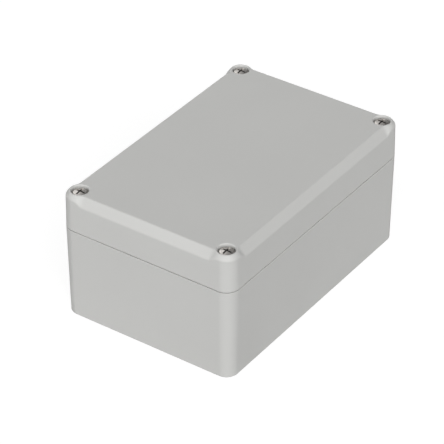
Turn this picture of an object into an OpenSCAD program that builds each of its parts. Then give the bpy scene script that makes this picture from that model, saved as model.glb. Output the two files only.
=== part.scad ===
// Polycarbonate enclosure with a screwed, sealed lid.
// Millimetres. The origin is the middle of the underside, +X runs along the length and
// +Z points to the lid. The parting line is the plane where lid and base meet.

/* [Outside] */
// Length at the parting line
length = 120; // [110:1:180]
// Width at the parting line
width = 80; // [74:1:130]
// Height of the base, up to the parting line
base_h = 40.6; // [30:0.1:80]
// Height of the lid, above the parting line
lid_h = 15.9; // [14:0.1:30]
// Radius of the upright corners at the parting line
corner_r = 5.8; // [5:0.1:7]
// How far the base's walls lean in from the parting line to the foot
base_draft = 0.54; // [0.2:0.02:1]
// How far the lid's walls lean in from the parting line to the top
lid_draft = 0.28; // [0.1:0.02:0.6]
// Radius of the base's foot edge
foot_r = 0.6; // [0.3:0.1:1.5]
// Width of the edge breaks beside the parting line
edge_break = 0.15; // [0.1:0.05:0.4]
// Height of the shadow gap under the lid's edge
gap_h = 0.4; // [0.2:0.05:0.8]
// Depth of the shadow gap
gap_depth = 0.8; // [0.4:0.05:1]

/* [Lid top] */
// Width of the bevel along the lid's top edges, seen from above
bevel_w = 2.66; // [1.5:0.02:3.2]
// Drop of the bevel below the flat top
bevel_drop = 3.47; // [2:0.01:5]
// Radius of a boss at the flat top, about its screw
boss_top_r = 4.2; // [4.15:0.05:4.8]

/* [Walls] */
// Thickness of the base's walls at the parting line
wall = 3; // [2.6:0.1:3.6]
// Thickness of the base's floor
floor_t = 3; // [2:0.1:5]
// Thickness of the lid's roof
roof_t = 3; // [2:0.1:4]

/* [Seal] */
// Width of the sealing rim on the base
rim_w = 1.2; // [0.8:0.1:1.4]
// Height of the sealing rim above the parting line
rim_h = 1.4; // [1:0.1:2.5]
// Ledge between the sealing rim and the base's inner wall
rim_ledge = 0.2; // [0.1:0.05:0.4]
// Clearance between the sealing rim and each side of the lid's groove
rim_clearance = 0.3; // [0.2:0.05:0.4]
// Thickness of the lid's lip on the inner side of the groove
lip_w = 1.1; // [0.8:0.1:1.6]
// Height of the gasket under pressure
gasket_h = 1.8; // [1.2:0.1:2.6]
// Clearance between the gasket and each side of its groove
gasket_clearance = 0.05; // [0.02:0.01:0.1]
// Corner radius of the space inside the lid
cavity_r = 1.8; // [1:0.1:3]

/* [Lid screws] */
// Distance of each screw's axis from the two walls beside it
screw_inset = 5.8; // [5.6:0.1:6.2]
// Diameter of the sunk seat that takes the screw's head
seat_d = 7; // [6.8:0.1:7.3]
// Chamfer around the mouth of that seat
seat_chamfer = 0.3; // [0.2:0.05:0.5]
// Depth of that seat below the flat top
seat_depth = 3.7; // [3.3:0.1:4.5]
// Diameter of the screw's head
head_d = 6.4; // [6:0.1:6.8]
// Height of the screw's head
head_h = 3.2; // [2.6:0.1:3.3]
// Radius of the rounded edge on the head
head_round = 0.9; // [0.3:0.1:1.2]
// Thickness of the web under the head
web_t = 2.6; // [2:0.1:3.5]
// Diameter of the hole in the web
web_hole_d = 4.6; // [4.3:0.1:5]
// Outside diameter of the thread
thread_d = 4; // [3.6:0.1:4.2]
// Diameter of the neck between head and thread
neck_d = 3.2; // [2.6:0.1:3.3]
// How far the thread starts above the parting line
thread_above = 0.8; // [0.4:0.1:1.4]
// How far the thread reaches below the parting line
thread_reach = 8; // [6:0.1:9]
// Width of each arm of the cross recess
recess_w = 0.7; // [0.6:0.05:1.1]
// Span of the cross recess at the top of the head
recess_span = 4.9; // [4:0.1:5.2]
// Depth of the cross recess
recess_depth = 2.1; // [1.4:0.1:2.4]

/* [Screw fittings] */
// Diameter of the hollow in the lid around the neck
hollow_d = 8.4; // [8.1:0.1:8.8]
// Outside diameter of the retaining washer
washer_d = 7.6; // [6.5:0.1:7.9]
// Thickness of the retaining washer
washer_t = 0.8; // [0.5:0.1:1.2]
// Outside diameter of the threaded insert
insert_d = 5.6; // [5.2:0.1:6.2]
// Length of the threaded insert
insert_l = 8; // [6:0.1:9]
// Depth of the insert's top below the parting line
insert_recess = 0.4; // [0.2:0.1:1]
// Radial clearance of the thread in its insert, and of the washer on the neck
thread_clearance = 0.05; // [0.02:0.01:0.1]
// Thickness of the pillar's wall around the insert
pillar_wall = 2; // [1.6:0.1:2.4]
// Thickness of the lid's wall around the screw's hollow
column_wall = 1.6; // [1.2:0.1:2]

/* [Wall fixing] */
// Width of the corner well that holds a fixing screw's head
well_w = 8; // [7.4:0.1:8.6]
// Distance of the fixing holes across the width
fixing_pitch_y = 50; // [46:0.5:51]
// Distance from a fixing hole to the inner end of its well
well_reach = 5; // [4.5:0.1:6]
// Distance from a fixing hole to the end of its well at the pillar
well_back = 5.2; // [4.8:0.1:5.6]
// Corner radius of the well
well_r = 1.5; // [1:0.1:2]
// Diameter of a fixing hole
fixing_d = 4.4; // [3.6:0.1:5]

/* [Board standoffs] */
// Distance of the standoffs along the length
standoff_pitch_x = 80; // [40:1:82]
// Distance of the standoffs across the width
standoff_pitch_y = 50; // [30:1:60]
// Diameter of a standoff
standoff_d = 6; // [5:0.1:7]
// Height of a standoff above the floor
standoff_h = 5; // [3:0.1:12]
// Diameter of the pilot hole in a standoff
pilot_d = 2.5; // [1.8:0.1:3]
// Depth of the pilot hole
pilot_depth = 5; // [3:0.1:6]

/* [Hidden] */
$fn = 96;
eps = 0.5;

// Heights
total_h = base_h + lid_h;
seat_z = total_h - seat_depth;
web_z = seat_z - web_t;
roof_z = total_h - roof_t;
thread_top_z = base_h + thread_above;
screw_tip_z = base_h - thread_reach;
insert_top_z = base_h - insert_recess;
rim_top_z = base_h + rim_h;
groove_top_z = rim_top_z + gasket_h;

// Corner radius at the lid's top, and centres of the corners, screws and fixing holes
lid_top_r = corner_r - lid_draft;
corner_x = length / 2 - corner_r;
corner_y = width / 2 - corner_r;
screw_x = length / 2 - screw_inset;
screw_y = width / 2 - screw_inset;
well_in_x = length / 2 - wall - well_w;
fixing_x = well_in_x + well_w / 2;
fixing_y = fixing_pitch_y / 2;
well_in_y = fixing_y - well_reach;

// Offsets of the seal's parts from the outside, and its corner radii
rim_in = wall - rim_ledge;
rim_out = rim_in - rim_w;
groove_in = rim_in + rim_clearance;
groove_out = rim_out - rim_clearance;
lid_wall = groove_in + lip_w;
seal_r = lid_wall + cavity_r;

plastic = [0.78, 0.77, 0.75];
rubber = [0.16, 0.16, 0.17];
steel = [0.55, 0.52, 0.49];
brass = [0.80, 0.65, 0.32];
nylon = [0.93, 0.92, 0.88];

// Puts a copy of the children at (x, y) in each quarter.
module each_quarter(x, y) {
    for (sx = [-1, 1], sy = [-1, 1])
        translate([sx * x, sy * y, 0])
            children();
}

// Mirrors the children, drawn in the quarter of +X and +Y, into all four quarters.
module mirror_quarters() {
    for (mx = [0, 1], my = [0, 1])
        mirror([mx, 0])
            mirror([0, my])
                children();
}

// Puts the children on the axis of lid screw i, counted anticlockwise from (+X, +Y).
module at_screw(i) {
    sx = (i == 1 || i == 4) ? 1 : -1;
    sy = (i == 1 || i == 2) ? 1 : -1;
    translate([sx * screw_x, sy * screw_y, 0])
        children();
}

// Rectangle from (x0, y0) to (x1, y1) with round corners.
module round_rect(x0, y0, x1, y1, r) {
    translate([x0 + r, y0])
        square([x1 - x0 - 2 * r, y1 - y0]);
    translate([x0, y0 + r])
        square([x1 - x0, y1 - y0 - 2 * r]);
    for (x = [x0 + r, x1 - r], y = [y0 + r, y1 - r])
        translate([x, y])
            circle(r);
}

// Solid with the outline of the box: the wall profile, drawn outwards from the corner
// centres, is turned around each corner and drawn along each side.
module box_of_profile(z0, z1) {
    for (i = [0:3]) {
        along_x = i % 2 == 0;
        rotate([0, 0, 90 * i])
            translate([along_x ? corner_x : corner_y, 0, 0])
                rotate([90, 0, 0])
                    linear_extrude(2 * (along_x ? corner_y : corner_x), center = true)
                        children();
        translate([(i == 0 || i == 3 ? 1 : -1) * corner_x, (i < 2 ? 1 : -1) * corner_y, 0])
            rotate([0, 0, 90 * i])
                rotate_extrude(angle = 90)
                    children();
    }
    translate([-corner_x, -corner_y, z0])
        cube([2 * corner_x, 2 * corner_y, z1 - z0]);
}

// Wall profile of the base: round foot, drafted wall, shadow gap below the parting line.
module base_profile() {
    foot = corner_r - base_draft;
    gap_z = base_h - gap_h;
    difference() {
        polygon([
            [0, 0],
            [foot, 0],
            [foot, foot_r],
            [corner_r, gap_z - edge_break],
            [corner_r - edge_break, gap_z],
            [corner_r - gap_depth, gap_z],
            [corner_r - gap_depth, base_h],
            [0, base_h]
        ]);
        translate([foot - foot_r, 0])
            difference() {
                translate([0, -eps])
                    square([foot_r + eps, foot_r + eps]);
                translate([0, foot_r])
                    circle(foot_r);
            }
    }
}

// Wall profile of the lid, before its top edges are bevelled: edge break and drafted wall.
module lid_profile() {
    polygon([
        [0, base_h],
        [corner_r - edge_break, base_h],
        [corner_r, base_h + edge_break],
        [lid_top_r, total_h],
        [0, total_h]
    ]);
}

// Profile that keeps what lies under the bevel, and reaches past the lid elsewhere.
module bevel_profile() {
    polygon([
        [0, base_h - eps],
        [lid_top_r + bevel_w, base_h - eps],
        [lid_top_r + bevel_w, total_h - 2 * bevel_drop],
        [lid_top_r - bevel_w * (1 + eps / bevel_drop), total_h + eps],
        [0, total_h + eps]
    ]);
}

// Area inside the sealing path, offset inwards by d from the outside of the box. It
// steps in at each corner, so that the wells and screws lie outside it.
module seal_area(d) {
    r = seal_r - d;
    hx = well_in_x - d;
    hy = well_in_y - d;
    round_rect(-hx, d - width / 2, hx, width / 2 - d, r);
    round_rect(d - length / 2, -hy, length / 2 - d, hy, r);
    mirror_quarters()
        translate([hx, hy])
            difference() {
                square(well_r + d);
                translate([well_r + d, well_r + d])
                    circle(well_r + d);
            }
}

// Outline of one corner well, left open around the column of the given radius.
module well_area(column_r) {
    difference() {
        round_rect(
            well_in_x, well_in_y,
            well_in_x + well_w, fixing_y + well_back,
            well_r
        );
        translate([screw_x, screw_y])
            circle(column_r);
    }
}

// Outside of the lid as a solid: a drafted box with its top edges bevelled off, except
// within a cone of the same slope about each screw, which leaves the corner bosses.
module lid_block() {
    reach = 1.5 * bevel_drop;
    run = bevel_w / bevel_drop;
    intersection() {
        box_of_profile(base_h, total_h)
            lid_profile();
        union() {
            box_of_profile(base_h - eps, total_h + eps)
                bevel_profile();
            each_quarter(screw_x, screw_y)
                translate([0, 0, total_h - reach])
                    cylinder(h = reach + eps, r1 = boss_top_r + reach * run,
                             r2 = boss_top_r - eps * run);
        }
    }
}

// Lower shell, with its pillars, wells, sealing rim and board standoffs in one.
module base() {
    color(plastic)
    union() {
        difference() {
            box_of_profile(0, base_h)
                base_profile();
            translate([0, 0, floor_t])
                linear_extrude(base_h)
                    seal_area(wall);
            translate([0, 0, floor_t])
                linear_extrude(base_h)
                    mirror_quarters()
                        well_area(insert_d / 2 + pillar_wall);
            each_quarter(fixing_x, fixing_y)
                translate([0, 0, -eps])
                    cylinder(h = floor_t + 2 * eps, d = fixing_d);
            each_quarter(screw_x, screw_y) {
                translate([0, 0, insert_top_z - insert_l])
                    cylinder(h = insert_l + insert_recess + eps, d = insert_d);
                translate([0, 0, min(screw_tip_z, insert_top_z - insert_l) - 1])
                    cylinder(h = insert_l, d = thread_d + 2 * thread_clearance);
            }
        }
        translate([0, 0, base_h - eps])
            linear_extrude(rim_h + eps)
                difference() {
                    seal_area(rim_out);
                    seal_area(rim_in);
                }
        each_quarter(standoff_pitch_x / 2, standoff_pitch_y / 2)
            translate([0, 0, floor_t - eps])
                difference() {
                    cylinder(h = standoff_h + eps, d = standoff_d);
                    translate([0, 0, standoff_h + eps - pilot_depth])
                        cylinder(h = pilot_depth + eps, d = pilot_d);
                }
    }
}

// Room of a screw in the lid: hollow for the washer, hole in the web, seat with a chamfered mouth.
module screw_bore() {
    mouth_r = seat_d / 2 + seat_chamfer;
    rotate_extrude()
        polygon([
            [0, base_h - eps],
            [hollow_d / 2, base_h - eps],
            [hollow_d / 2, web_z],
            [web_hole_d / 2, web_z],
            [web_hole_d / 2, seat_z],
            [seat_d / 2, seat_z],
            [seat_d / 2, total_h - seat_chamfer],
            [mouth_r + eps, total_h + eps],
            [0, total_h + eps],
        ]);
}

// Upper shell, with its bosses, screw columns and gasket groove in one.
module lid() {
    color(plastic)
    difference() {
        lid_block();
        translate([0, 0, base_h - eps])
            linear_extrude(roof_z - base_h + eps)
                seal_area(lid_wall);
        translate([0, 0, base_h - eps])
            linear_extrude(groove_top_z - base_h + eps)
                difference() {
                    seal_area(groove_out);
                    seal_area(groove_in);
                }
        translate([0, 0, base_h - eps])
            linear_extrude(roof_z - base_h + eps)
                mirror_quarters()
                    well_area(hollow_d / 2 + column_wall);
        each_quarter(screw_x, screw_y)
            screw_bore();
    }
}

// Seal between the roof of the lid's groove and the base's rim.
module gasket() {
    color(rubber)
    translate([0, 0, rim_top_z])
        linear_extrude(gasket_h)
            difference() {
                seal_area(groove_out + gasket_clearance);
                seal_area(groove_in - gasket_clearance);
            }
}

// Screw with a round-edged head, thin neck and short thread, on its own axis.
module lid_screw() {
    head_r = head_d / 2;
    thread_r = thread_d / 2;
    tip_chamfer = 0.5;
    color(steel)
    difference() {
        rotate_extrude()
            union() {
                translate([0, seat_z])
                    square([head_r, head_h - head_round]);
                translate([0, seat_z])
                    square([head_r - head_round, head_h]);
                translate([head_r - head_round, seat_z + head_h - head_round])
                    intersection() {
                        circle(head_round);
                        square(head_round);
                    }
                translate([0, thread_top_z])
                    square([neck_d / 2, seat_z - thread_top_z]);
                polygon([
                    [0, screw_tip_z],
                    [thread_r - tip_chamfer, screw_tip_z],
                    [thread_r, screw_tip_z + tip_chamfer],
                    [thread_r, thread_top_z],
                    [0, thread_top_z]
                ]);
            }
        translate([0, 0, seat_z + head_h - recess_depth])
            intersection() {
                cylinder(h = recess_depth + eps, r1 = recess_w / 2,
                         r2 = recess_span / 2 * (1 + eps / recess_depth));
                for (a = [0, 90])
                    rotate([0, 0, a])
                        translate([-recess_span, -recess_w / 2, -eps])
                            cube([2 * recess_span, recess_w, recess_depth + 3 * eps]);
            }
    }
}

// Threaded insert with a grip groove around its middle, on its own axis.
module screw_insert() {
    groove_w = insert_l / 6;
    groove_depth = 0.4;
    color(brass)
    translate([0, 0, insert_top_z - insert_l])
        difference() {
            cylinder(h = insert_l, d = insert_d);
            translate([0, 0, -eps])
                cylinder(h = insert_l + 2 * eps, d = thread_d + 2 * thread_clearance);
            translate([0, 0, (insert_l - groove_w) / 2])
                difference() {
                    cylinder(h = groove_w, d = insert_d + eps);
                    translate([0, 0, -eps])
                        cylinder(h = groove_w + 2 * eps, d = insert_d - 2 * groove_depth);
                }
        }
}

// Washer that rests on the top of the thread and stays on the neck.
module retaining_washer() {
    color(nylon)
    translate([0, 0, thread_top_z])
        difference() {
            cylinder(h = washer_t, d = washer_d);
            translate([0, 0, -eps])
                cylinder(h = washer_t + 2 * eps, d = neck_d + 2 * thread_clearance);
        }
}

base();
lid();
gasket();
for (i = [1:4]) {
    at_screw(i) lid_screw();
    at_screw(i) screw_insert();
    at_screw(i) retaining_washer();
}
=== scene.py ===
"""Looks of a sealed polycarbonate enclosure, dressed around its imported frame.

The base and the lid, its screws, their threaded inserts and washers, and the gasket are
modelled here with the soft edges, threads and rounded sections that the plain solids lack,
each in the place of the solid that it stands for.
Lengths are in metres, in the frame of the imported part: +X along the length, +Z up, and the
origin in the middle of the underside.
"""

import logging
import math
from collections.abc import Callable, Iterable, Sequence
from dataclasses import dataclass
from enum import Enum

import bmesh
import bpy
import numpy as np
from mathutils import Matrix, Vector

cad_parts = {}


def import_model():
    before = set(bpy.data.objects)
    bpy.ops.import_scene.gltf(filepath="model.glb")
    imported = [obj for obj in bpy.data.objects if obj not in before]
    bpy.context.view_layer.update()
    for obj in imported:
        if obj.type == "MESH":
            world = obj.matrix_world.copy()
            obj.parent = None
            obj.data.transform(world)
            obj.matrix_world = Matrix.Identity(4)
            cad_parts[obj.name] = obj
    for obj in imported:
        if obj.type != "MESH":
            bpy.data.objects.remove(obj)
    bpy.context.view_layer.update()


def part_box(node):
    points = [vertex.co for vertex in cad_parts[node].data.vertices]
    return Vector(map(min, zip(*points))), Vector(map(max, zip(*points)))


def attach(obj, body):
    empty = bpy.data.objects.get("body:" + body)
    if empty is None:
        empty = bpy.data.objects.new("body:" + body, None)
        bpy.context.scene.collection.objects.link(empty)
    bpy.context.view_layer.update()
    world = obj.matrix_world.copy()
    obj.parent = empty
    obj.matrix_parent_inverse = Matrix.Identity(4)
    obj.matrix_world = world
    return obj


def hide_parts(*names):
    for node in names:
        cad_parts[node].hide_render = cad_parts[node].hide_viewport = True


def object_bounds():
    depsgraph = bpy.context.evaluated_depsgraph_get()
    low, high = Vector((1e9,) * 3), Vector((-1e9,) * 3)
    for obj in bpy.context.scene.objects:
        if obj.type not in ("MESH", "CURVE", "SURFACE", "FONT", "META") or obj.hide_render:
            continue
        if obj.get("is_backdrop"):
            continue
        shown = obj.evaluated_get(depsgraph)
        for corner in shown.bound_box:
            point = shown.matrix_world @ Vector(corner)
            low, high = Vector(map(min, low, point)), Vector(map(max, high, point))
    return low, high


LOG = logging.getLogger("enclosure")
MM = 0.001
SHARP_ANGLE = math.radians(32)
# Fine and coarse distances below which points are merged or lengths count as equal.
WELD = 1e-7
NEAR = 1e-6

Point2 = tuple[float, float]
Span = tuple[float, float]
Level = tuple[Sequence[Point2], float]
Row = list[bmesh.types.BMVert]
Colour = tuple[float, float, float, float]
# Features per metre, then detail and roughness where those aren't the usual ones.
Noise = tuple[float, ...]
Socket = bpy.types.NodeSocket
Material = bpy.types.Material
Object = bpy.types.Object

WHITE: Colour = (1, 1, 1, 1)
LIGHT_GREY: Colour = (0.60, 0.60, 0.585, 1)
MILKY: Colour = (0.84, 0.82, 0.76, 1)


class Slot(Enum):
    """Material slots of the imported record."""

    SHELL = "shell"
    SEAL = "seal"
    SCREW = "screw"
    INSERT = "insert"
    WASHER = "washer"


class Corner(Enum):
    """Corners of the box, as the signs of their X and Y, numbered as the screws are."""

    PLUS_PLUS = (1, 1)
    MINUS_PLUS = (-1, 1)
    MINUS_MINUS = (-1, -1)
    PLUS_MINUS = (1, -1)

    @property
    def number(self) -> int:
        """Number of the screw in this corner, from 1."""
        return list(Corner).index(self) + 1

    def place(self, point: Point2) -> Point2:
        """Moves a point from the first quadrant to this corner."""
        return self.value[0] * point[0], self.value[1] * point[1]

    def mirror(self, outline: Sequence[Point2]) -> list[Point2]:
        """Moves an outline from the first quadrant to this corner, with its sense kept."""
        moved = [self.place(point) for point in outline]
        return moved if self.value[0] == self.value[1] else moved[::-1]


class Step(Enum):
    """Ways to join one closed volume to another."""

    TAKE_OUT = "DIFFERENCE"
    ADD = "UNION"


@dataclass(frozen=True)
class BoxSizes:
    """Sizes that several pieces of the enclosure share."""

    length: float
    width: float
    height: float
    parting_z: float
    corner_r: float = 5.8 * MM
    lid_draft: float = 0.28 * MM
    edge_break: float = 0.15 * MM
    screw_inset: float = 5.8 * MM
    well_x: float = 49 * MM
    well_y: float = 20 * MM
    well_r: float = 1.5 * MM
    well_end: Point2 = (57 * MM, 30.2 * MM)
    well_steps: int = 6
    column_steps: int = 16
    seal_r: float = 6 * MM

    @classmethod
    def from_frame(cls) -> "BoxSizes":
        """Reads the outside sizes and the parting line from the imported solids.

        Returns:
            The sizes of this enclosure.
        """
        low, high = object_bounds()
        lid_low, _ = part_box("lid")
        return cls(high.x - low.x, high.y - low.y, high.z, lid_low.z)

    @property
    def core(self) -> Point2:
        """Half sizes of the rectangle through the centres of the upright corners."""
        return self.length / 2 - self.corner_r, self.width / 2 - self.corner_r

    @property
    def lid_top_r(self) -> float:
        """Corner radius at the lid's top."""
        return self.corner_r - self.lid_draft

    def screw_axis(self, corner: Corner) -> Point2:
        """Gives X and Y of the axis of a corner's screw."""
        inset = self.screw_inset
        return corner.place((self.length / 2 - inset, self.width / 2 - inset))

    def seal_contour(self, inset: float, arc_steps: int = 10) -> list[Point2]:
        """Draws the closed path of the seal, which steps in around each corner well.

        Args:
            inset: Distance of the path from the outside of the box.
            arc_steps: Steps on each quarter arc.

        Returns:
            The points of the path, anticlockwise from the +X side.
        """
        round_r = self.seal_r - inset
        side_x = self.length / 2 - self.seal_r
        side_y = self.width / 2 - self.seal_r
        turn = (self.well_x + self.well_r, self.well_y + self.well_r)
        quarter = arc((side_x, self.well_y - self.seal_r), round_r, 0, 90, arc_steps)
        quarter += arc(turn, self.well_r + inset, 270, 180, arc_steps)
        quarter += arc((self.well_x - self.seal_r, side_y), round_r, 0, 90, arc_steps)
        return [point for corner in Corner for point in corner.mirror(quarter)]

    def well_contour(self, corner: Corner, column_r: float, grow: float = 0.0) -> list[Point2]:
        """Outlines a corner well, hollowed out around the screw's column.

        Args:
            corner: Corner of the well.
            column_r: Radius of the column about the screw.
            grow: Distance that the outline is moved outwards.

        Returns:
            The outline, anticlockwise.
        """
        low_x, low_y, r = self.well_x - grow, self.well_y - grow, self.well_r + grow
        high_x, high_y = self.well_end[0] + grow, self.well_end[1] + grow
        column_r -= grow
        axis = Vector(self.screw_axis(Corner.PLUS_PLUS))
        turn = Vector((low_x + r, high_y - r))
        to_axis = axis - turn
        along = (r**2 - column_r**2 + to_axis.length_squared) / (2 * to_axis.length)
        if abs(along) < r:
            meet = math.atan2(to_axis.y, to_axis.x) + math.acos(along / r)
            met = turn + r * Vector((math.cos(meet), math.sin(meet))) - axis
        else:
            meet = math.pi / 2
            met = Vector((-math.sqrt(column_r**2 - (high_y - axis.y) ** 2), high_y - axis.y))
        start = math.degrees(-math.acos((high_x - axis.x) / column_r))
        end = math.degrees(math.atan2(met.y, met.x))
        points = arc((high_x - r, low_y + r), r, -90, 0, self.well_steps)
        points += arc(tuple(axis), column_r, start, end - 360 * (end > 0), self.column_steps)
        points += arc(tuple(turn), r, math.degrees(meet), 180, self.well_steps)[1:]
        points += arc((low_x + r, low_y + r), r, 180, 270, self.well_steps)
        return corner.mirror(points)

    def outline(self, radius: float, arc_steps: int = 20) -> list[Point2]:
        """Draws the box's outline with corners of a radius about the corner centres.

        Args:
            radius: Radius of the corners.
            arc_steps: Steps on each corner.

        Returns:
            The points, anticlockwise from the +X side.
        """
        points: list[Point2] = []
        for i, corner in enumerate(Corner):
            points += arc(corner.place(self.core), radius, 90 * i, 90 * i + 90, arc_steps)
        return points


class Form:
    """A mesh under construction."""

    def __init__(self) -> None:
        """Starts an empty mesh."""
        self.bm = bmesh.new()

    def ring(self, points: Iterable[Sequence[float]]) -> Row:
        """Adds a row of vertices and returns them."""
        return [self.bm.verts.new(point) for point in points]

    def levels(self, sections: Iterable[Level]) -> list[Row]:
        """Adds a row of vertices for each outline, at its height, and returns them."""
        return [self.ring((x, y, z) for x, y in outline) for outline, z in sections]

    def skin(self, rows: Sequence[Row], capped: bool = True) -> None:
        """Joins rows of vertices, each a closed loop, with quads.

        Args:
            rows: Loops of equal length, from the bottom to the top.
            capped: Whether the ends are closed; otherwise the last loop joins the first.
        """
        for lower, upper in zip(rows, rows[1:] if capped else [*rows[1:], rows[0]]):
            count = len(lower)
            for i in range(count):
                j = (i + 1) % count
                self.bm.faces.new((lower[i], lower[j], upper[j], upper[i]))
        if capped:
            self.bm.faces.new(rows[0][::-1])
            self.bm.faces.new(rows[-1])

    def loft(self, sections: Iterable[Level]) -> None:
        """Adds a solid through anticlockwise outlines of as many points each, bottom first."""
        self.skin(self.levels(sections))

    def belt(self, sections: Iterable[Level]) -> None:
        """Adds a belt through outlines of as many points each, the last joined to the first."""
        self.skin(self.levels(sections), capped=False)

    def lathe(
        self,
        profile: Sequence[Point2],
        segments: int,
        centre: Point2 = (0.0, 0.0),
        radius_at: Callable[[float, float, float], float] | None = None,
        capped: bool = True,
    ) -> None:
        """Turns a profile about an upright axis.

        Args:
            profile: Radius and height of each ring, up the outside of the shape.
            segments: Points on a ring.
            centre: X and Y of the axis.
            radius_at: Gives a ring's radius from radius, angle and height, where it isn't round.
            capped: Whether the ends are closed; otherwise the last ring joins the first.
        """
        rows = []
        for radius, z in profile:
            points = []
            for i in range(segments):
                angle = math.tau * i / segments
                r = radius_at(radius, angle, z) if radius_at else radius
                points.append((centre[0] + r * math.cos(angle), centre[1] + r * math.sin(angle), z))
            rows.append(self.ring(points))
        self.skin(rows, capped)

    def finish(self, name: str) -> Object:
        """Turns the mesh into an object of the scene.

        Args:
            name: Name of the object.

        Returns:
            The new object, smooth apart from its sharp edges.
        """
        bmesh.ops.remove_doubles(self.bm, verts=self.bm.verts, dist=WELD)
        bmesh.ops.recalc_face_normals(self.bm, faces=self.bm.faces)
        mesh = bpy.data.meshes.new(name)
        self.bm.to_mesh(mesh)
        self.bm.free()
        obj = bpy.data.objects.new(name, mesh)
        bpy.context.scene.collection.objects.link(obj)
        smooth_by_angle(obj)
        return obj


def arc(centre: Point2, radius: float, start: float, end: float, steps: int) -> list[Point2]:
    """Draws an arc of an outline or a profile between two angles in degrees, both included."""
    angles = np.radians(np.linspace(start, end, steps + 1))
    return [(centre[0] + radius * math.cos(a), centre[1] + radius * math.sin(a)) for a in angles]


def at_height(flat: np.ndarray, z: float) -> np.ndarray:
    """Gives points of a plane, one in each row, the same third coordinate."""
    return np.column_stack((flat, np.full(len(flat), z)))


def smooth_by_angle(obj: Object) -> None:
    """Shades an object smooth, with its sharp edges kept."""
    obj.data.shade_smooth()
    obj.data.set_sharp_from_angle(angle=SHARP_ANGLE)


def apply_modifiers(obj: Object) -> None:
    """Puts the shape that an object's modifiers give into its mesh.

    Args:
        obj: The object, which keeps its mesh's name.
    """
    depsgraph = bpy.context.evaluated_depsgraph_get()
    result = bpy.data.meshes.new_from_object(obj.evaluated_get(depsgraph))
    obj.modifiers.clear()
    old = obj.data
    name = old.name
    obj.data = result
    bpy.data.meshes.remove(old)
    obj.data.name = name


def combine(body: Object, tool: Object, step: Step) -> None:
    """Takes a tool's volume out of a body or adds it, and removes the tool.

    Args:
        body: The object that is changed.
        tool: The closed object that is taken out or added.
        step: Which of the two is done.
    """
    modifier = body.modifiers.new("combine", "BOOLEAN")
    modifier.operation = step.value
    modifier.solver = "EXACT"
    modifier.object = tool
    apply_modifiers(body)
    bpy.data.objects.remove(tool)


def even_shading(obj: Object) -> None:
    """Keeps flat faces flat in the shading beside narrow round edges.

    Args:
        obj: The object that is shaded.
    """
    smooth_by_angle(obj)
    modifier = obj.modifiers.new("shading", "WEIGHTED_NORMAL")
    modifier.mode = "FACE_AREA"
    modifier.weight = 100
    modifier.keep_sharp = True
    apply_modifiers(obj)


def shaded(colour: Colour, share: float) -> Colour:
    """Gives a colour at a share of its brightness."""
    red, green, blue, alpha = colour
    return red * share, green * share, blue * share, alpha


class NodeGraph:
    """Shader nodes that are added one by one."""

    def __init__(self, tree: bpy.types.NodeTree) -> None:
        """Works on that tree of nodes."""
        self.nodes = tree.nodes
        self.links = tree.links

    def feed(self, socket: Socket, value: object) -> None:
        """Links an output to a socket, or sets the socket to a plain value.

        Args:
            socket: The input.
            value: The output or the plain value.
        """
        if isinstance(value, Socket):
            self.links.new(value, socket)
        else:
            socket.default_value = value

    def add(
        self, kind: str, inputs: dict[str | int, object] | None = None, **values: object
    ) -> bpy.types.Node:
        """Adds a node.

        Args:
            kind: Type of the node.
            inputs: Outputs or plain values for its sockets, by name or number.
            **values: Properties of the node itself.

        Returns:
            The new node.
        """
        node = self.nodes.new(kind)
        for key, value in values.items():
            setattr(node, key, value)
        for key, value in (inputs or {}).items():
            self.feed(node.inputs[key], value)
        return node

    def ramp(
        self, value: Socket, source: Span, target: Span = (0.0, 1.0), **values: object
    ) -> Socket:
        """Maps one range of values onto another and holds it at the ends.

        Args:
            value: The value to map.
            source: The values that give the ends of the target.
            target: The values that come out there.
            **values: Properties of the node itself.

        Returns:
            The mapped value.
        """
        names = ("From Min", "From Max", "To Min", "To Max")
        inputs = {"Value": value, **dict(zip(names, (*source, *target)))}
        return self.add("ShaderNodeMapRange", inputs, **values).outputs["Result"]

    def calculate(self, operation: str, first: Socket, second: Socket | float) -> Socket:
        """Combines two values by an operation of the math node."""
        node = self.add("ShaderNodeMath", {0: first, 1: second}, operation=operation)
        return node.outputs["Value"]


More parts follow.
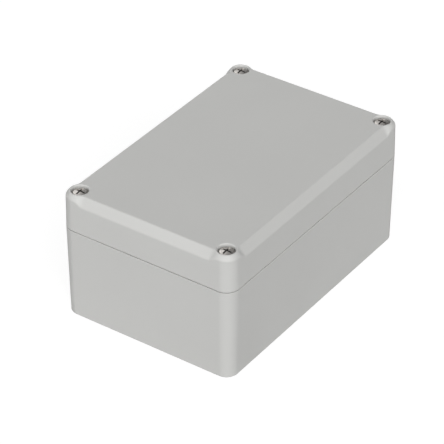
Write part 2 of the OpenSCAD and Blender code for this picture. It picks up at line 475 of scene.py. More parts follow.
class MaterialGraph(NodeGraph):
    """Nodes of one material around its principled shader."""

    noise_range: Span = (0.3, 0.7)
    open_range: Span = (0.2, 0.8)
    samples: int = 8

    def __init__(self, name: str) -> None:
        """Starts a material.

        Args:
            name: Name of the material.
        """
        self.material = bpy.data.materials.new(name)
        self.material.use_nodes = True
        super().__init__(self.material.node_tree)
        self.shader = self.nodes["Principled BSDF"]
        self.place = self.add("ShaderNodeTexCoord").outputs["Object"]

    def noise(self, scale: float, detail: float = 2.0, roughness: float = 0.5) -> Socket:
        """Adds noise over the object's own coordinates, with scale in features per metre."""
        inputs = {"Vector": self.place, "Scale": scale, "Detail": detail, "Roughness": roughness}
        return self.add("ShaderNodeTexNoise", inputs).outputs["Fac"]

    def spread(self, value: Socket, low: float = 0.0, high: float = 1.0) -> Socket:
        """Maps noise, which keeps near its middle, onto a range of values."""
        return self.ramp(value, self.noise_range, (low, high))

    def blend(self, factor: Socket, first: Socket | Colour, second: Socket | Colour) -> Socket:
        """Mixes two colours.

        Args:
            factor: Share of the second colour.
            first: Colour where the factor is 0.
            second: Colour where it is 1.

        Returns:
            The mixed colour.
        """
        node = self.add("ShaderNodeMix", {"Factor": factor}, data_type="RGBA")
        sockets = [s for s in node.inputs if s.type == "RGBA"]
        for socket, value in zip(sockets, (first, second)):
            self.feed(socket, value)
        return next(s for s in node.outputs if s.type == "RGBA")

    def axis_distance(self) -> Socket:
        """Measures from the object's upright axis.

        Returns:
            The distance.
        """
        level = {0: self.place, 1: (1, 1, 0)}
        flat = self.add("ShaderNodeVectorMath", level, operation="MULTIPLY").outputs["Vector"]
        return self.add("ShaderNodeVectorMath", {0: flat}, operation="LENGTH").outputs["Value"]

    def height(self) -> Socket:
        """Gives the height above the underside."""
        return self.add("ShaderNodeSeparateXYZ", {"Vector": self.place}).outputs["Z"]

    def openness(self, reach: float) -> Socket:
        """Gives 1 on open surfaces, falling to 0 in joints and corners narrower than the reach."""
        node = self.add("ShaderNodeAmbientOcclusion", {"Distance": reach}, samples=self.samples)
        return self.ramp(node.outputs["AO"], self.open_range)

    def bump(self, height: Socket, depth: float) -> Socket:
        """Adds a bump of a real depth in metres and returns its normal."""
        inputs = {"Height": height, "Distance": depth, "Strength": 1.0}
        return self.add("ShaderNodeBump", inputs).outputs["Normal"]

    def shade(self, **sockets: object) -> None:
        """Feeds the shader's sockets, with _ for the spaces in their names."""
        for name, value in sockets.items():
            self.feed(self.shader.inputs[name.replace("_", " ")], value)


@dataclass(frozen=True)
class Moulded:
    """Moulded finish: drifting colour, patchy gloss, fine grain, painted shade in narrow joints."""

    name: str
    colours: tuple[Colour, Colour]
    drift: Noise
    gloss: Noise
    roughness: Span
    grain: Noise
    grain_depth: float
    joint_reach: float = 0.0
    # Share of the brightness left in the narrowest joints, as painted shade.
    joint_shade: float = 1.0
    constants: tuple[tuple[str, float], ...] = ()

    def material(self) -> Material:
        """Builds the material.

        Returns:
            The material, with painted shade in narrow joints where those have a reach.
        """
        graph = MaterialGraph(self.name)
        colour = graph.blend(graph.spread(graph.noise(*self.drift)), *self.colours)
        # Painted shade: the colour darkens where ambient occlusion finds joints and creases within
        # the reach.
        if self.joint_reach:
            painted_joint_colour = shaded(self.colours[1], self.joint_shade)
            colour = graph.blend(graph.openness(self.joint_reach), painted_joint_colour, colour)
        graph.shade(
            Base_Color=colour,
            Roughness=graph.spread(graph.noise(*self.gloss), *self.roughness),
            Normal=graph.bump(graph.noise(*self.grain), self.grain_depth),
            **dict(self.constants),
        )
        return graph.material


@dataclass(frozen=True)
class TurnedMetal:
    """Bare metal with fine rings from turning and painted shade in its hollows."""

    name: str
    colour: Colour
    stain: Colour
    roughness: Span
    hollow_r: float
    hollow_z: Span
    hollow_floor: float = 0.0
    hollow_edge: float = 0.8
    tarnish: float = 0.2
    patches: Noise = (900, 4)
    rings_per_metre: float = 2200
    ring_detail: float = 3.0
    ring_depth: float = 0.002 * MM

    def hollow(self, graph: MaterialGraph, distance: Socket) -> Socket:
        """Marks the hollow about the axis, where shade is painted.

        Args:
            graph: Nodes of the material.
            distance: Distance from the axis.

        Returns:
            1 deep in the hollow, falling to 0 at its mouth.
        """
        height = graph.height()
        near = graph.ramp(distance, (self.hollow_r, self.hollow_r * self.hollow_edge))
        deep = graph.ramp(height, self.hollow_z[::-1])
        over = graph.calculate("GREATER_THAN", height, self.hollow_floor)
        return graph.calculate("MULTIPLY", graph.calculate("MULTIPLY", near, deep), over)

    def material(self) -> Material:
        """Builds the material.

        Returns:
            A metal whose rings run around the upright axis of the object that wears it.
        """
        graph = MaterialGraph(self.name)
        distance = graph.axis_distance()
        inputs = {"W": distance, "Scale": self.rings_per_metre, "Detail": self.ring_detail}
        rings = graph.add("ShaderNodeTexNoise", inputs, noise_dimensions="1D").outputs["Fac"]
        tarnished = tuple(
            (1 - self.tarnish) * clean + self.tarnish * stained
            for clean, stained in zip(self.colour, self.stain)
        )
        patches = graph.spread(graph.noise(*self.patches))
        open_face = graph.blend(patches, tarnished, self.colour)
        # Painted shade: deep in the hollow about the axis the colour falls to the dark stain
        # colour.
        graph.shade(
            Base_Color=graph.blend(self.hollow(graph, distance), open_face, self.stain),
            Roughness=graph.spread(rings, *self.roughness),
            Normal=graph.bump(rings, self.ring_depth),
            Metallic=1.0,
        )
        return graph.material


@dataclass(frozen=True)
class Finishes:
    """One finish for each material slot."""

    # The plastic gets painted shade in its joints and creases: colour at 0.92 where ambient
    # occlusion finds surfaces within 1 mm.
    plastic: Moulded = Moulded(
        "light_grey_plastic", (shaded(LIGHT_GREY, 0.975), LIGHT_GREY),
        drift=(24, 3), gloss=(7000 / 12, 4), roughness=(0.56, 0.64),
        grain=(7000, 3, 0.6), grain_depth=0.004 * MM,
        joint_reach=1.0 * MM, joint_shade=0.92, constants=(("IOR", 1.58),),
    )
    rubber: Moulded = Moulded(
        "black_seal", ((0.022, 0.022, 0.024, 1), (0.06, 0.06, 0.062, 1)),
        drift=(600, 5, 0.65), gloss=(800, 3), roughness=(0.62, 0.82),
        grain=(5200,), grain_depth=0.01 * MM,
    )
    # The hollow settings paint shade into the steel's cross recess and the top of the brass
    # insert's bore.
    steel: TurnedMetal = TurnedMetal(
        "burnished_steel", (0.49, 0.47, 0.448, 1), (0.07, 0.058, 0.048, 1), (0.24, 0.36),
        hollow_r=2.6 * MM, hollow_z=(55.0 * MM, 55.6 * MM), hollow_floor=53.5 * MM,
    )
    brass: TurnedMetal = TurnedMetal(
        "turned_brass", (0.78, 0.58, 0.26, 1), (0.36, 0.24, 0.09, 1), (0.22, 0.36),
        hollow_r=2.3 * MM, hollow_z=(38.5 * MM, 40.1 * MM),
    )
    nylon: Moulded = Moulded(
        "natural_nylon", (shaded(MILKY, 0.93), MILKY),
        drift=(420, 3), gloss=(1500, 3), roughness=(0.36, 0.5),
        grain=(6000,), grain_depth=0.003 * MM,
        constants=(("Subsurface_Weight", 0.12), ("Subsurface_Scale", 0.6 * MM)),
    )

    def materials(self) -> dict[Slot, Material]:
        """Builds the material of every slot and returns them by slot."""
        finishes = (self.plastic, self.rubber, self.steel, self.brass, self.nylon)
        return {slot: finish.material() for slot, finish in zip(Slot, finishes)}


@dataclass
class Piece:
    """Base of the modelled pieces: what they share when they join the frame."""

    sizes: BoxSizes
    materials: dict[Slot, Material]

    def dress(self, obj: Object, slot: Slot, body: str, node: str) -> None:
        """Gives a piece its finish and puts it in its solid's place.

        Args:
            obj: The piece.
            slot: Its material slot.
            body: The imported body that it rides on.
            node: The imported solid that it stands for.
        """
        obj.data.materials.clear()
        obj.data.materials.append(self.materials[slot])
        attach(obj, body)
        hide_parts(node)
        faces = len(obj.data.polygons)
        LOG.info("%s: %d faces, rides on %s, stands for %s", obj.name, faces, body, node)

    def at_screws(
        self, make: Callable[[str], Object], slot: Slot, name: str, body: str, node: str
    ) -> None:
        """Makes and dresses a piece on the axis of each screw.

        Args:
            make: Builds the piece about the upright axis of the frame, under a name.
            slot: Its material slot.
            name: Its name, with {} for the number of the corner.
            body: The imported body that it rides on, likewise.
            node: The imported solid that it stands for, likewise.
        """
        for corner in Corner:
            number = corner.number
            obj = make(name.format(number))
            obj.location = (*self.sizes.screw_axis(corner), 0.0)
            self.dress(obj, slot, body.format(number), node.format(number))


@dataclass
class BaseShell(Piece):
    """Lower shell: drafted walls with pillars, corner wells, sealing rim and standoffs."""

    draft: float = 0.54 * MM
    foot_r: float = 0.6 * MM
    foot_steps: int = 8
    gap_h: float = 0.4 * MM
    gap_depth: float = 0.8 * MM
    wall: float = 3 * MM
    floor_t: float = 3 * MM
    floor_fillet: float = 0.8 * MM
    fillet_steps: int = 6
    edge_steps: int = 4
    rim_insets: Point2 = (1.6 * MM, 2.8 * MM)
    rim_h: float = 1.4 * MM
    rim_edge: float = 0.3 * MM
    mouth_edge: float = 0.3 * MM
    mouth_slope: float = 72
    mouth_over: float = 0.06 * MM
    mouth_steps: int = 5
    pillar_r: float = 4.8 * MM
    insert_r: float = 2.8 * MM
    insert_foot_z: float = 32.2 * MM
    bore_r: float = 2.05 * MM
    bore_foot_z: float = 31.2 * MM
    bore_segments: int = 72
    fixing_place: Point2 = (53 * MM, 25 * MM)
    fixing_r: float = 2.2 * MM
    standoff_place: Point2 = (40 * MM, 25 * MM)
    standoff_r: float = 3 * MM
    standoff_h: float = 5 * MM
    standoff_fillet: float = 0.5 * MM
    standoff_fillet_start: float = 262
    standoff_edge: float = 0.25 * MM
    pilot_r: float = 1.25 * MM
    hole_segments: int = 48
    margin: float = 0.5 * MM

    def block(self) -> Object:
        """Builds the outside as a closed block: round foot, drafted wall and shadow gap.

        Returns:
            The block, still solid inside.
        """
        foot = self.sizes.corner_r - self.draft
        top_r, top_z = self.sizes.corner_r, self.sizes.parting_z
        gap_z = top_z - self.gap_h
        edge = self.sizes.edge_break
        profile = arc((foot - self.foot_r, self.foot_r), self.foot_r, -90, 0, self.foot_steps)
        profile += arc((top_r - edge, gap_z - edge), edge, 0, 90, self.edge_steps)
        profile += [(top_r - self.gap_depth, gap_z), (top_r - self.gap_depth, top_z)]
        form = Form()
        form.loft([(self.sizes.outline(radius), z) for radius, z in profile])
        return form.finish("base_shell")

    def mouth(self) -> list[Point2]:
        """Draws the round edge of an opening in the parting plane.

        Returns:
            Growth of the opening and height, up to just above the plane.
        """
        edge, slope, top_z = self.mouth_edge, self.mouth_slope, self.sizes.parting_z
        turn = arc((0.0, top_z - edge), edge, 0, slope, self.mouth_steps)
        points = [(edge - out, z) for out, z in turn]
        grow, z = points[-1]
        over_z = top_z + self.mouth_over
        return points + [(grow + (over_z - z) * math.tan(math.radians(slope)), over_z)]

    def hollows(self) -> Object:
        """Builds everything that is hollow in the base as one tool.

        Returns:
            The closed volumes to take out of the block.
        """
        fillet, edge = self.floor_fillet, self.mouth_edge
        bowl = []
        for turn in np.linspace(0, math.pi / 2, self.fillet_steps + 1):
            inset = self.wall + fillet * (1 - math.sin(turn))
            bowl.append((inset, self.floor_t + fillet - fillet * math.cos(turn)))
        well = [(self.wall - inset, z) for inset, z in bowl] + self.mouth()
        bowl.append((self.wall, self.sizes.parting_z + self.margin))
        bore = [
            (self.bore_r, self.bore_foot_z),
            (self.bore_r, self.insert_foot_z),
            (self.insert_r, self.insert_foot_z),
        ]
        bore += [(self.insert_r + grow, z) for grow, z in self.mouth()]
        flare_r = self.fixing_r + edge + self.margin
        hole = [
            (flare_r, -self.margin),
            (self.fixing_r, edge),
            (self.fixing_r, self.floor_t - edge),
            (flare_r, self.floor_t + self.margin),
        ]
        form, holes = Form(), Form()
        form.loft([(self.sizes.seal_contour(inset), z) for inset, z in bowl])
        contour = self.sizes.well_contour
        for corner in Corner:
            form.loft([(contour(corner, self.pillar_r, grow), z) for grow, z in well])
            form.lathe(bore, self.bore_segments, self.sizes.screw_axis(corner))
            holes.lathe(hole, self.hole_segments, corner.place(self.fixing_place))
        tool = form.finish("base_hollows")
        combine(tool, holes.finish("base_holes"), Step.ADD)
        return tool

    def rim(self) -> list[Point2]:
        """Draws the section of the sealing rim, sunk into the block.

        Returns:
            Inset and height of each point, up the outside and down the inside.
        """
        near, far = self.rim_insets
        edge, low_z = self.rim_edge, self.sizes.parting_z - self.margin
        centre = (0.0, self.sizes.parting_z + self.rim_h - edge)
        points = [(far, low_z), (near, low_z)]
        points += [(near + edge - out, z) for out, z in arc(centre, edge, 0, 90, self.mouth_steps)]
        points += [(far - edge + out, z) for out, z in arc(centre, edge, 90, 0, self.mouth_steps)]
        return points

    def standoff(self) -> list[Point2]:
        """Draws the section of a standoff, with a filleted foot sunk into the floor.

        Returns:
            Radius and height of each point, up the outside and down to the pilot hole.
        """
        foot, edge, r = self.standoff_fillet, self.standoff_edge, self.standoff_r
        low_z, high_z = self.floor_t - self.margin, self.floor_t + self.standoff_h
        foot_centre, start = (r + foot, self.floor_t + foot), self.standoff_fillet_start
        points = [(self.pilot_r, low_z), (r + foot, low_z)]
        points += arc(foot_centre, foot, start, 180, self.fillet_steps)
        points += arc((r - edge, high_z - edge), edge, 0, 90, self.edge_steps)
        return points + [(self.pilot_r + edge, high_z), (self.pilot_r, high_z - edge)]

    def additions(self) -> Object:
        """Builds the sealing rim and the board standoffs, which stand on the cut block.

        Returns:
            The closed volumes to add to it.
        """
        form = Form()
        form.belt([(self.sizes.seal_contour(inset), z) for inset, z in self.rim()])
        section = self.standoff()
        for corner in Corner:
            place = corner.place(self.standoff_place)
            form.lathe(section, self.hole_segments, place, capped=False)
        return form.finish("base_additions")

    def build(self) -> None:
        """Builds and dresses the base."""
        shell = self.block()
        combine(shell, self.hollows(), Step.TAKE_OUT)
        combine(shell, self.additions(), Step.ADD)
        even_shading(shell)
        self.dress(shell, Slot.SHELL, "base", "base")


@dataclass
class LidShell(Piece):
    """Upper shell: bevelled edges that run out into a round boss at each corner."""

    bevel_w: float = 2.66 * MM
    bevel_drop: float = 3.47 * MM
    edge_r: float = 0.3 * MM
    boss_top_r: float = 4.2 * MM
    run_out_r: float = 5.5 * MM
    fan_depth: float = 6 * MM
    fan_rays: int = 64
    search_steps: int = 40
    corner_steps: int = 28
    flank_reach: float = 12 * MM
    flank_step: float = 0.3 * MM
    cavity_inset: float = 4.2 * MM
    groove_insets: Point2 = (1.3 * MM, 3.1 * MM)
    groove_h: float = 3.2 * MM
    roof_t: float = 3 * MM
    column_r: float = 5.8 * MM
    hollow_r: float = 4.2 * MM
    web_hole_r: float = 2.3 * MM
    web_t: float = 2.6 * MM
    seat_r: float = 3.5 * MM
    seat_depth: float = 3.7 * MM
    seat_chamfer: float = 0.3 * MM
    bore_segments: int = 96
    margin: float = 0.5 * MM

    @staticmethod
    def round_cut(a: np.ndarray, b: np.ndarray, radius: float) -> np.ndarray:
        """Meets two distances in a rounded outer edge of that radius."""
        corner = np.hypot(np.maximum(a + radius, 0), np.maximum(b + radius, 0))
        return np.minimum(np.maximum(a, b), -radius) + corner

    def beyond_top(self, flat: np.ndarray, reach: np.ndarray) -> np.ndarray:
        """Measures how far points lie beyond the outline of the flat top, seen from above.

        The outline is the box's, set in by the bevel, with a round boss about each screw and
        a hollow fillet on both sides of the boss.

        Args:
            flat: X and Y of each point, in the first quadrant.
            reach: Distance of each point from the rectangle of corner centres.

        Returns:
            Distances, negative over the flat top.
        """
        edge_w = self.sizes.lid_top_r - self.bevel_w
        from_axis = flat - np.array(self.sizes.screw_axis(Corner.PLUS_PLUS))
        beyond = np.minimum(reach - edge_w, np.linalg.norm(from_axis, axis=-1) - self.boss_top_r)
        across = edge_w + self.run_out_r
        along = math.sqrt((self.boss_top_r + self.run_out_r) ** 2 - across**2)
        for outward in (0, 1):
            to_side = -from_axis[..., 1 - outward] - along
            to_wall = from_axis[..., outward] - across
            in_fillet = (to_side < 0) & (to_side * across > to_wall * along) & (to_wall > -across)
            fillet = self.run_out_r - np.hypot(to_side, to_wall)
            beyond = np.where(in_fillet, fillet, beyond)
        return beyond

    def distance(self, points: np.ndarray) -> np.ndarray:
        """Measures how far points lie outside the lid's outer form.

        Args:
            points: Points, one in each row.

        Returns:
            Distances, negative inside.
        """
        flat = np.abs(points[..., :2])
        drop = self.sizes.height - points[..., 2]
        reach = np.linalg.norm(np.maximum(flat - np.array(self.sizes.core), 0), axis=-1)
        lean = drop / (self.sizes.height - self.sizes.parting_z) * self.sizes.lid_draft
        wall = reach - (self.sizes.lid_top_r + lean)
        slant = math.hypot(self.bevel_w, self.bevel_drop)
        slope = (self.beyond_top(flat, reach) * self.bevel_drop - drop * self.bevel_w) / slant
        return self.round_cut(wall, self.round_cut(slope, -drop, self.edge_r), self.edge_r)

    def stations(self) -> tuple[np.ndarray, np.ndarray]:
        """Places the upright sections of the skin around the lid.

        Returns:
            Places on the rectangle of corner centres, and the outward direction at each.
        """
        places: list[Point2] = []
        directions: list[Point2] = []
        corners = list(Corner)
        for i, corner in enumerate(corners):
            start = np.array(corner.value) * self.sizes.core
            end = np.array(corners[(i + 1) % 4].value) * self.sizes.core
            for angle in np.linspace(i, i + 1, self.corner_steps + 1) * math.pi / 2:
                places.append(tuple(start))
                directions.append((math.cos(angle), math.sin(angle)))
            run = np.linalg.norm(end - start)
            near = np.arange(self.flank_step, self.flank_reach, self.flank_step)
            for along in np.concatenate((near, (run - near)[::-1])):
                places.append(tuple(start + (end - start) * along / run))
                directions.append(directions[-1])
        return np.array(places), np.array(directions)

    def skin_rows(self) -> list[np.ndarray]:
        """Finds the rows of the skin, from the parting line up to the flat top.

        Returns:
            Rows of points, one point at each station.
        """
        places, directions = self.stations()
        corner_r, low_z = self.sizes.corner_r, self.sizes.parting_z
        edge = self.sizes.edge_break
        rows = [
            at_height(places + directions * (corner_r - edge), low_z),
            at_height(places + directions * corner_r, low_z + edge),
        ]
        spine = at_height(places, self.sizes.height - self.fan_depth)
        for angle in np.linspace(0, math.pi / 2, self.fan_rays):
            ray = at_height(directions * math.cos(angle), math.sin(angle))
            near = np.zeros(len(places))
            far = np.full(len(places), 2 * self.fan_depth)
            for _ in range(self.search_steps):
                middle = (near + far) / 2
                outside = self.distance(spine + ray * middle[:, None]) > 0
                far = np.where(outside, middle, far)
                near = np.where(outside, near, middle)
            rows.append(spine + ray * near[:, None])
        return rows

    def block(self) -> Object:
        """Builds the lid's outside as a closed block.

        Returns:
            The block, still solid inside.
        """
        form = Form()
        form.skin([form.ring(row.tolist()) for row in self.skin_rows()])
        bmesh.ops.remove_doubles(form.bm, verts=form.bm.verts, dist=NEAR)
        bmesh.ops.dissolve_degenerate(form.bm, edges=form.bm.edges, dist=WELD)
        return form.finish("lid_shell")

    def inside(self) -> Object:
        """Builds everything that is hollow in the lid as one tool.

        Returns:
            The closed volumes to take out of the block.
        """
        form = Form()
        low = self.sizes.parting_z - 2 * self.margin
        roof = self.sizes.height - self.roof_t
        seat_z = self.sizes.height - self.seat_depth
        groove_z = self.sizes.parting_z + self.groove_h
        form.loft([(self.sizes.seal_contour(self.cavity_inset), z) for z in (low, roof)])
        outer, inner = (self.sizes.seal_contour(inset) for inset in self.groove_insets)
        form.belt([(inner, low), (outer, low), (outer, groove_z), (inner, groove_z)])
        mouth_r = self.seat_r + self.seat_chamfer
        bore = (
            (self.hollow_r, low),
            (self.hollow_r, seat_z - self.web_t),
            (self.web_hole_r, seat_z - self.web_t),
            (self.web_hole_r, seat_z),
            (self.seat_r, seat_z),
            (self.seat_r, self.sizes.height - self.seat_chamfer),
            (mouth_r + self.margin, self.sizes.height + self.margin),
        )
        for corner in Corner:
            well = self.sizes.well_contour(corner, self.column_r)
            form.loft([(well, low), (well, roof)])
            form.lathe(bore, self.bore_segments, self.sizes.screw_axis(corner))
        return form.finish("lid_hollows")

    def build(self) -> None:
        """Builds and dresses the lid."""
        shell = self.block()
        combine(shell, self.inside(), Step.TAKE_OUT)
        smooth_by_angle(shell)
        self.dress(shell, Slot.SHELL, "lid", "lid")


@dataclass
class Gasket(Piece):
    """Rubber seal in the lid's groove, with a crowned lower face."""

    insets: Point2 = (1.35 * MM, 3.05 * MM)
    low_z: float = 42 * MM
    high_z: float = 43.8 * MM
    crown: float = 0.45 * MM
    crown_steps: int = 10
    path_steps: int = 16

    def build(self) -> None:
        """Builds and dresses the gasket, as its section drawn along the path of the seal."""
        near, far = self.insets
        section = [(far, self.high_z), (near, self.high_z)]
        for share in np.linspace(0, 1, self.crown_steps + 1).tolist():
            rise = self.crown * (2 * share - 1) ** 2
            section.append((near + (far - near) * share, self.low_z + rise))
        form = Form()
        form.belt([(self.sizes.seal_contour(inset, self.path_steps), z) for inset, z in section])
        self.dress(form.finish("seal_ring"), Slot.SEAL, "lid", "gasket")


@dataclass(frozen=True)
class Thread:
    """Right-hand thread shape, of the same pitch on screws and in inserts so that they mesh."""

    root_r: float
    crest_r: float
    crest_share: float = 0.16
    root_share: float = 0.2
    offset: float = 0.0
    pitch: float = 0.7 * MM
    rows_per_pitch: int = 10

    def radius_at(self, angle: float, z: float) -> float:
        """Gives the thread's radius at a place.

        Args:
            angle: Angle about the axis.
            z: Height.

        Returns:
            The radius, between root and crest.
        """
        phase = (z / self.pitch - angle / math.tau - self.offset) % 1.0
        from_crest = min(phase, 1 - phase)
        flank = 0.5 - (self.crest_share + self.root_share) / 2
        share = min(1.0, max(0.0, 1 - (from_crest - self.crest_share / 2) / flank))
        return self.root_r + (self.crest_r - self.root_r) * share

    def heights(self, start: float, end: float) -> list[float]:
        """Spaces rings along a stretch of the thread, both ends included."""
        rows = round(abs(end - start) / self.pitch * self.rows_per_pitch)
        return np.linspace(start, end, rows + 1).tolist()


@dataclass
class LidScrew(Piece):
    """Captive pan-head screw with a cross recess, a thin neck and a short thread."""

    head_r: float = 3.2 * MM
    head_h: float = 3.2 * MM
    head_round: float = 0.9 * MM
    head_chamfer: float = 0.15 * MM
    crown: float = 0.25 * MM
    crown_start: float = 75
    crown_shares: Span = (0.9, 0.1)
    crown_rings: int = 9
    round_steps: int = 10
    seat_z: float = 52.8 * MM
    neck_r: float = 1.6 * MM
    neck_fillet: float = 0.3 * MM
    neck_steps: int = 5
    thread: Thread = Thread(root_r=1.58 * MM, crest_r=2 * MM)
    thread_top_z: float = 41.4 * MM
    thread_lead: float = 0.5
    thread_end: float = 0.1 * MM
    tip_z: float = 32.6 * MM
    tip_chamfer: float = 0.5 * MM
    recess_w: float = 0.7 * MM
    recess_span: float = 4.9 * MM
    recess_foot: float = 1.2 * MM
    recess_foot_share: float = 0.7
    recess_depth: float = 2.1 * MM
    recess_over: float = 0.4 * MM
    segments: int = 72

    @property
    def top_z(self) -> float:
        """Height of the head's middle."""
        return self.seat_z + self.head_h

    def thread_radius(self, radius: float, angle: float, z: float) -> float:
        """Gives the radius of a ring, threaded between tip and neck.

        Args:
            radius: Radius in the profile.
            angle: Angle about the axis.
            z: Height.

        Returns:
            The radius at that angle.
        """
        if z > self.thread_top_z:
            return radius
        full = self.thread.radius_at(angle, z)
        lead = min(1.0, (self.thread_top_z - z) / (self.thread_lead * self.thread.pitch))
        return min(radius, self.neck_r + (full - self.neck_r) * lead)

    def profile(self) -> list[Point2]:
        """Draws the screw's outline from its tip to the middle of its head.

        Returns:
            Radius and height of each ring.
        """
        crest_r = self.thread.crest_r
        tip_r = crest_r - self.tip_chamfer
        points = [(tip_r / 2, self.tip_z), (tip_r, self.tip_z)]
        for z in self.thread.heights(self.tip_z, self.thread_top_z)[1:]:
            points.append((min(crest_r, tip_r + (z - self.tip_z)), z))
        points.append((self.neck_r, self.thread_top_z + self.thread_end))
        fillet = (self.neck_r + self.neck_fillet, self.seat_z - self.neck_fillet)
        points += arc(fillet, self.neck_fillet, 180, 90, self.neck_steps)
        points.append((self.head_r - self.head_chamfer, self.seat_z))
        points.append((self.head_r, self.seat_z + self.head_chamfer))
        rim = (self.head_r - self.head_round, self.top_z - self.crown - self.head_round)
        points += arc(rim, self.head_round, 0, self.crown_start, self.round_steps)
        edge_r, edge_z = points[-1]
        for share in np.linspace(*self.crown_shares, self.crown_rings).tolist():
            rise = (self.top_z - edge_z) * (1 - share**2)
            points.append((edge_r * share, edge_z + rise))
        return points

    @staticmethod
    def cross(reach: float, half: float) -> list[Point2]:
        """Outlines a cross.

        Args:
            reach: Length of an arm from the middle.
            half: Half the width of an arm.

        Returns:
            The outline, anticlockwise.
        """
        points: list[Point2] = []
        for turn in range(4):
            spin = Matrix.Rotation(turn * math.pi / 2, 2)
            arm = ((reach, -half), (reach, half), (half, half))
            points += [tuple(spin @ Vector(point)) for point in arm]
        return points

    def recess(self) -> Object:
        """Builds the cross recess as a tool of two crossed wedges.

        Returns:
            The closed tool.
        """
        taper = (self.recess_span - self.recess_foot) / 2 / self.recess_depth
        half = self.recess_w / 2
        foot = self.cross(self.recess_foot / 2, half * self.recess_foot_share)
        top = self.cross(self.recess_span / 2 + taper * self.recess_over, half)
        form = Form()
        form.loft([(foot, self.top_z - self.recess_depth), (top, self.top_z + self.recess_over)])
        return form.finish("recess_tool")

    def screw(self, name: str) -> Object:
        """Builds a screw about the upright axis of the frame.

        Args:
            name: Name of the screw.

        Returns:
            The screw.
        """
        form = Form()
        form.lathe(self.profile(), self.segments, radius_at=self.thread_radius)
        screw = form.finish(name)
        combine(screw, self.recess(), Step.TAKE_OUT)
        smooth_by_angle(screw)
        return screw

    def build(self) -> None:
        """Builds and dresses the four lid screws."""
        names = ("pan_head_screw_{}", "screw_{}", "lid_screw_{}")
        self.at_screws(self.screw, Slot.SCREW, *names)


@dataclass
class ThreadedInsert(Piece):
    """Brass insert pressed into a pillar, with a knurl outside and a thread inside."""

    outer_r: float = 2.8 * MM
    thread: Thread = Thread(2.05 * MM, 1.72 * MM, crest_share=0.06, root_share=0.42, offset=0.5)
    top_z: float = 40.2 * MM
    insert_l: float = 8 * MM
    chamfer: float = 0.3 * MM
    mouth_chamfer: float = 0.25 * MM
    groove_w: float = 8 * MM / 6
    groove_depth: float = 0.4 * MM
    knurl_depth: float = 0.08 * MM
    knurl_teeth: int = 18
    segments: int = 72

    def ring_radius(self, radius: float, angle: float, z: float) -> float:
        """Gives a ring's radius: knurled outside, threaded in the bore.

        Args:
            radius: Radius in the section.
            angle: Angle about the axis.
            z: Height.

        Returns:
            The radius at that angle.
        """
        if radius > self.outer_r - NEAR:
            ridge = abs((angle * self.knurl_teeth / math.tau) % 1.0 - 0.5) * 2
            return radius - self.knurl_depth * ridge
        if radius > self.thread.root_r + NEAR:
            return radius
        low_z = self.top_z - self.insert_l
        fade = min(1.0, (self.top_z - z) / self.thread.pitch, (z - low_z) / self.thread.pitch)
        return radius + (self.thread.radius_at(angle, z) - radius) * max(0.0, fade)

    def profile(self) -> list[Point2]:
        """Draws the insert's section as a closed line.

        Returns:
            Radius and height of each ring, up the outside and down the bore.
        """
        low = self.top_z - self.insert_l
        middle = low + self.insert_l / 2
        groove_r = self.outer_r - self.groove_depth
        bore_r = self.thread.root_r
        mouth_r = bore_r + self.mouth_chamfer
        points = [
            (mouth_r, low),
            (self.outer_r - self.chamfer, low),
            (self.outer_r, low + self.chamfer),
            (self.outer_r, middle - self.groove_w / 2),
            (groove_r, middle - self.groove_w / 2),
            (groove_r, middle + self.groove_w / 2),
            (self.outer_r, middle + self.groove_w / 2),
            (self.outer_r, self.top_z - self.chamfer),
            (self.outer_r - self.chamfer, self.top_z),
            (mouth_r, self.top_z),
        ]
        ends = (self.top_z - self.mouth_chamfer, low + self.mouth_chamfer)
        return points + [(bore_r, z) for z in self.thread.heights(*ends)]

    def insert(self, name: str) -> Object:
        """Builds an insert about the upright axis of the frame.

        Args:
            name: Name of the insert.

        Returns:
            The insert.
        """
        form = Form()
        form.lathe(self.profile(), self.segments, radius_at=self.ring_radius, capped=False)
        return form.finish(name)

    def build(self) -> None:
        """Builds and dresses the four inserts."""
        names = ("brass_insert_{}", "base", "screw_insert_{}")
        self.at_screws(self.insert, Slot.INSERT, *names)


@dataclass
class RetainingWasher(Piece):
    """Nylon washer that keeps a screw in the lid."""

    outer_r: float = 3.8 * MM
    inner_r: float = 1.65 * MM
    low_z: float = 41.4 * MM
    thickness: float = 0.8 * MM
    edge_r: float = 0.2 * MM
    edge_steps: int = 4
    segments: int = 64

    def washer(self, name: str) -> Object:
        """Builds a washer with round edges about the upright axis of the frame.

        Args:
            name: Name of the washer.

        Returns:
            The washer.
        """
        r = self.edge_r
        in_r, out_r = self.inner_r + r, self.outer_r - r
        low, high = self.low_z + r, self.low_z + self.thickness - r
        section: list[Point2] = []
        centres = ((in_r, low), (out_r, low), (out_r, high), (in_r, high))
        for centre, start in zip(centres, (180, -90, 0, 90)):
            section += arc(centre, r, start, start + 90, self.edge_steps)
        form = Form()
        form.lathe(section, self.segments, capped=False)
        return form.finish(name)

    def build(self) -> None:
        """Builds and dresses the four washers."""
        names = ("nylon_washer_{}", "washer_{}", "retaining_washer_{}")
        self.at_screws(self.washer, Slot.WASHER, *names)


@dataclass(frozen=True)
class Lamp:
    """A distant soft lamp."""

    name: str
    towards: tuple[float, float, float]
    strength: float
    spread: float
    mirrored: bool = True

    def build(self) -> None:
        """Adds the lamp to the scene."""
        data = bpy.data.lights.new(self.name, "SUN")
        data.energy = self.strength
        data.angle = self.spread
        lamp = bpy.data.objects.new(self.name, data)
        lamp.visible_glossy = self.mirrored
        lamp.rotation_euler = Vector(self.towards).to_track_quat("Z", "Y").to_euler()
        bpy.context.scene.collection.objects.link(lamp)


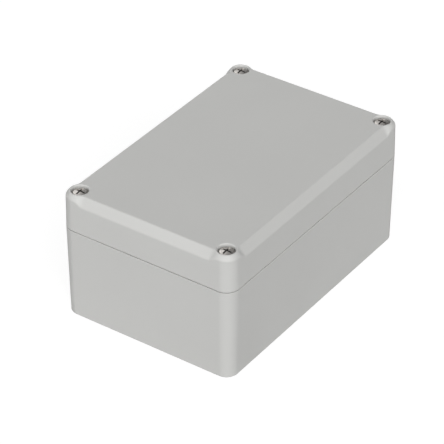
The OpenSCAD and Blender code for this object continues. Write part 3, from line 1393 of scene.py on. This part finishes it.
@dataclass(frozen=True)
class Viewpoint:
    """Camera at the angle from which the enclosure is shown."""

    azimuth: float = math.radians(-55.029)
    elevation: float = math.radians(34.753)
    distance: float = 967.43 * MM
    aim_z: float = 27.5 * MM
    aside: float = -4.720 * MM
    above: float = -2.665 * MM
    lens_mm: float = 197.14
    sensor_mm: float = 36.0

    def build(self) -> None:
        """Adds the camera and makes it the scene's own."""
        a, e = self.azimuth, self.elevation
        back = Vector((math.sin(a) * math.cos(e), -math.cos(a) * math.cos(e), math.sin(e)))
        right = Vector((math.cos(a), math.sin(a), 0))
        up = back.cross(right)
        place = Vector((0, 0, self.aim_z)) + back * self.distance
        place = place + right * self.aside + up * self.above
        data = bpy.data.cameras.new("viewpoint")
        data.lens = self.lens_mm
        data.sensor_width = self.sensor_mm
        camera = bpy.data.objects.new("viewpoint", data)
        turn = Matrix((right, up, back)).transposed().to_4x4()
        camera.matrix_world = Matrix.Translation(place) @ turn
        bpy.context.scene.collection.objects.link(camera)
        bpy.context.scene.camera = camera


@dataclass
class Studio:
    """Pale floor, soft light and camera."""

    floor_half: float = 4.0
    floor_z: float = -0.02 * MM
    floor_colour: Colour = (0.31, 0.31, 0.31, 1)
    floor_roughness: float = 0.9
    floor_glow: float = 0.80
    sky_strength: float = 0.18
    mirrored_sky: Span = (0.28, 0.9)
    bright_side: tuple[float, float, float] = (-0.574, 0.819, 0.0)
    side_blend: Span = (-0.3, 0.3)
    lamps: tuple[Lamp, ...] = (
        Lamp("key", (-0.500, -0.494, 0.470), 2.70, 1.1),
        Lamp("side", (-0.145, 0.12, 0.045), 0.61, 0.9),
        Lamp("back", (0.37, 0.696, 0.616), 0.22, 0.55),
        Lamp("fill", (0.74, 0.67, 0.03), 1.4, 0.2, mirrored=False),
    )
    viewpoint: Viewpoint = Viewpoint()

    def floor_material(self) -> Material:
        """Builds the floor's finish, which looks white where light falls on it.

        Returns:
            A dull pale material that adds a glow in the camera's and mirrors' sight only.
        """
        graph = MaterialGraph("pale_floor")
        path = graph.add("ShaderNodeLightPath").outputs
        seen = path["Is Camera Ray"]
        for other in ("Is Glossy Ray", "Is Transmission Ray"):
            seen = graph.calculate("MAXIMUM", seen, path[other])
        graph.shade(
            Base_Color=self.floor_colour,
            Roughness=self.floor_roughness,
            Specular_IOR_Level=0.0,
            Emission_Color=WHITE,
            Emission_Strength=graph.calculate("MULTIPLY", seen, self.floor_glow),
        )
        return graph.material

    def floor(self) -> None:
        """Builds the floor that the enclosure stands on and marks it as stage."""
        form = Form()
        half = self.floor_half
        corners = ((-half, -half), (half, -half), (half, half), (-half, half))
        form.bm.faces.new(form.ring((x, y, self.floor_z) for x, y in corners))
        floor = form.finish("floor")
        floor.data.materials.append(self.floor_material())
        floor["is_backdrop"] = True

    def sky(self) -> None:
        """Builds the sky: dim as a light, brighter in mirrors, white in the camera's sight."""
        world = bpy.data.worlds.new("studio")
        world.use_nodes = True
        graph = NodeGraph(world.node_tree)
        path = graph.add("ShaderNodeLightPath").outputs
        towards = {0: graph.add("ShaderNodeTexCoord").outputs["Generated"], 1: self.bright_side}
        facing = graph.add("ShaderNodeVectorMath", towards, operation="DOT_PRODUCT")
        ends = (self.side_blend, self.mirrored_sky)
        mirrored = graph.ramp(facing.outputs["Value"], *ends, interpolation_type="SMOOTHSTEP")
        inputs = {"Factor": path["Is Glossy Ray"], "A": self.sky_strength, "B": mirrored}
        unseen = graph.add("ShaderNodeMix", inputs).outputs["Result"]
        seen = graph.calculate("MAXIMUM", path["Is Camera Ray"], path["Is Transmission Ray"])
        strength = graph.add("ShaderNodeMix", {"Factor": seen, "A": unseen, "B": 1.0})
        background = graph.nodes["Background"].inputs
        graph.feed(background["Color"], WHITE)
        graph.feed(background["Strength"], strength.outputs["Result"])
        bpy.context.scene.world = world

    def build(self) -> None:
        """Sets up the floor, the light, the view and the colour transform."""
        self.floor()
        for lamp in self.lamps:
            lamp.build()
        self.viewpoint.build()
        self.sky()
        bpy.context.scene.view_settings.view_transform = "Standard"
        LOG.info("studio: floor, %d lamps, sky and camera", len(self.lamps))


def main() -> None:
    """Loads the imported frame, builds and dresses every piece, and lights the scene."""
    logging.basicConfig(level=logging.INFO, format="%(name)s %(message)s")
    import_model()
    sizes = BoxSizes.from_frame()
    materials = Finishes().materials()
    for piece in (BaseShell, LidShell, Gasket, LidScrew, ThreadedInsert, RetainingWasher):
        piece(sizes, materials).build()
    Studio().build()


if __name__ == "__main__":
    main()
